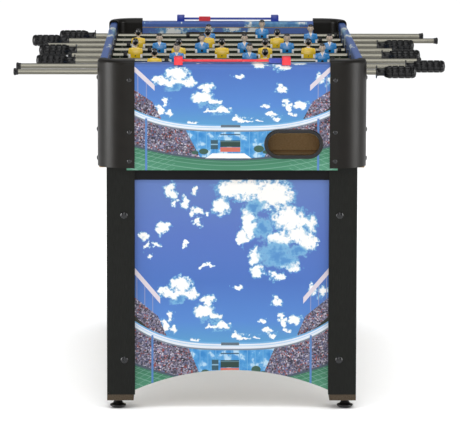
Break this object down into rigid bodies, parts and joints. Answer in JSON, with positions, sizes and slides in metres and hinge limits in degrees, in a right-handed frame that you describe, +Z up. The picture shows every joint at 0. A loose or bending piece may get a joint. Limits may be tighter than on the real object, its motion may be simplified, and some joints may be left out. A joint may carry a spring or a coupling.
{
  "type": "foosball table",
  "caption": "Rod football table with printed cabinet, rounded corner covers, sliding and turning player rods, ball returns and sliding score counters.",
  "frame": {"origin": "on the floor, at the centre of the rectangle of the four levelling feet, under the middle of the playing field", "axes": "+Z up; +Y along the playing field from the front end to the rear end; +X across it, along the rods"},
  "size_m": [1.0268, 1.2238, 0.8078],
  "materials": {
    "printed_board": "printed film on fibreboard",
    "playfield_print": "printed satin",
    "cover_plastic": "fine moulded texture",
    "bezel_plastic": "moulded",
    "bare_mdf": "raw fibreboard",
    "leg_laminate": "black laminate",
    "rod_chrome": "plated",
    "rubber": "moulded",
    "player_yellow": "moulded and painted",
    "player_blue": "moulded and painted",
    "bushing_nylon": "moulded",
    "black_steel": "black",
    "foot_plastic": "moulded",
    "score_red": "moulded",
    "score_blue": "moulded"
  },
  "bodies": {
    "table": {"playfield": "playfield_print", "front_apron": "printed_board", "front_goal_board": "printed_board", "front_ball_chute": "bare_mdf", "front_leg_panel": "printed_board", "front_score_rail": "score_red", "front_left_corner_cover": "cover_plastic", "front_left_leg": "leg_laminate", "front_right_corner_cover": "cover_plastic", "front_right_leg": "leg_laminate", "rear_apron": "printed_board", "rear_goal_board": "printed_board", "rear_ball_chute": "bare_mdf", "rear_leg_panel": "printed_board", "rear_score_rail": "score_blue", "rear_left_corner_cover": "cover_plastic", "rear_left_leg": "leg_laminate", "rear_right_corner_cover": "cover_plastic", "rear_right_leg": "leg_laminate", "ball_port_bezels": "bezel_plastic", "left_side_wall": "printed_board", "right_side_wall": "printed_board", "cover_screws": "black_steel", "leg_bolts": "black_steel", "rod_bushings": "bushing_nylon"},
    "feet": {"levelling_feet": "foot_plastic"},
    "front_counter": {"front_score_marker": "score_blue"},
    "rear_counter": {"rear_score_marker": "score_red"},
    "carriage_1": {"bumpers_1": "rubber"},
    "rod_1": {"rod_1": "rod_chrome", "players_1": "player_yellow", "grip_1": "rubber"},
    "carriage_2": {"bumpers_2": "rubber"},
    "rod_2": {"rod_2": "rod_chrome", "players_2": "player_yellow", "grip_2": "rubber"},
    "carriage_3": {"bumpers_3": "rubber"},
    "rod_3": {"rod_3": "rod_chrome", "players_3": "player_blue", "grip_3": "rubber"},
    "carriage_4": {"bumpers_4": "rubber"},
    "rod_4": {"rod_4": "rod_chrome", "players_4": "player_yellow", "grip_4": "rubber"},
    "carriage_5": {"bumpers_5": "rubber"},
    "rod_5": {"rod_5": "rod_chrome", "players_5": "player_blue", "grip_5": "rubber"},
    "carriage_6": {"bumpers_6": "rubber"},
    "rod_6": {"rod_6": "rod_chrome", "players_6": "player_yellow", "grip_6": "rubber"},
    "carriage_7": {"bumpers_7": "rubber"},
    "rod_7": {"rod_7": "rod_chrome", "players_7": "player_blue", "grip_7": "rubber"},
    "carriage_8": {"bumpers_8": "rubber"},
    "rod_8": {"rod_8": "rod_chrome", "players_8": "player_blue", "grip_8": "rubber"}
  },
  "joints": [
    {"name": "feet_adjust", "type": "slide", "parent": "table", "child": "feet", "axis": [0, 0, -1], "range_m": [0, 0.01]},
    {"name": "front_counter_slide", "type": "slide", "parent": "table", "child": "front_counter", "axis": [1, 0, 0], "range_m": [-0.1936, 0]},
    {"name": "rear_counter_slide", "type": "slide", "parent": "table", "child": "rear_counter", "axis": [1, 0, 0], "range_m": [-0.037, 0.1566]},
    {"name": "rod_1_slide", "type": "slide", "parent": "table", "child": "carriage_1", "axis": [1, 0, 0], "range_m": [-0.0016, 0.1724]},
    {"name": "rod_1_spin", "type": "hinge", "parent": "carriage_1", "child": "rod_1", "pos_m": [-0.0854, -0.4827, 0.763], "axis": [1, 0, 0], "continuous": true},
    {"name": "rod_2_slide", "type": "slide", "parent": "table", "child": "carriage_2", "axis": [1, 0, 0], "range_m": [-0.0737, 0.1733]},
    {"name": "rod_2_spin", "type": "hinge", "parent": "carriage_2", "child": "rod_2", "pos_m": [-0.0498, -0.34479, 0.763], "axis": [1, 0, 0], "continuous": true},
    {"name": "rod_3_slide", "type": "slide", "parent": "table", "child": "carriage_3", "axis": [1, 0, 0], "range_m": [-0.1244, 0.0356]},
    {"name": "rod_3_spin", "type": "hinge", "parent": "carriage_3", "child": "rod_3", "pos_m": [0.0444, -0.20687, 0.763], "axis": [1, 0, 0], "continuous": true},
    {"name": "rod_4_slide", "type": "slide", "parent": "table", "child": "carriage_4", "axis": [1, 0, 0], "range_m": [-0.0247, 0.0643]},
    {"name": "rod_4_spin", "type": "hinge", "parent": "carriage_4", "child": "rod_4", "pos_m": [-0.0198, -0.06896, 0.763], "axis": [1, 0, 0], "continuous": true},
    {"name": "rod_5_slide", "type": "slide", "parent": "table", "child": "carriage_5", "axis": [1, 0, 0], "range_m": [-0.0807, 0.0083]},
    {"name": "rod_5_spin", "type": "hinge", "parent": "carriage_5", "child": "rod_5", "pos_m": [0.0362, 0.06896, 0.763], "axis": [1, 0, 0], "continuous": true},
    {"name": "rod_6_slide", "type": "slide", "parent": "table", "child": "carriage_6", "axis": [1, 0, 0], "range_m": [-0.027, 0.133]},
    {"name": "rod_6_spin", "type": "hinge", "parent": "carriage_6", "child": "rod_6", "pos_m": [-0.053, 0.20687, 0.763], "axis": [1, 0, 0], "continuous": true},
    {"name": "rod_7_slide", "type": "slide", "parent": "table", "child": "carriage_7", "axis": [1, 0, 0], "range_m": [-0.2015, 0.0455]},
    {"name": "rod_7_spin", "type": "hinge", "parent": "carriage_7", "child": "rod_7", "pos_m": [0.078, 0.34479, 0.763], "axis": [1, 0, 0], "continuous": true},
    {"name": "rod_8_slide", "type": "slide", "parent": "table", "child": "carriage_8", "axis": [1, 0, 0], "range_m": [-0.1735, 0.0005]},
    {"name": "rod_8_spin", "type": "hinge", "parent": "carriage_8", "child": "rod_8", "pos_m": [0.0865, 0.4827, 0.763], "axis": [1, 0, 0], "continuous": true}
  ]
}
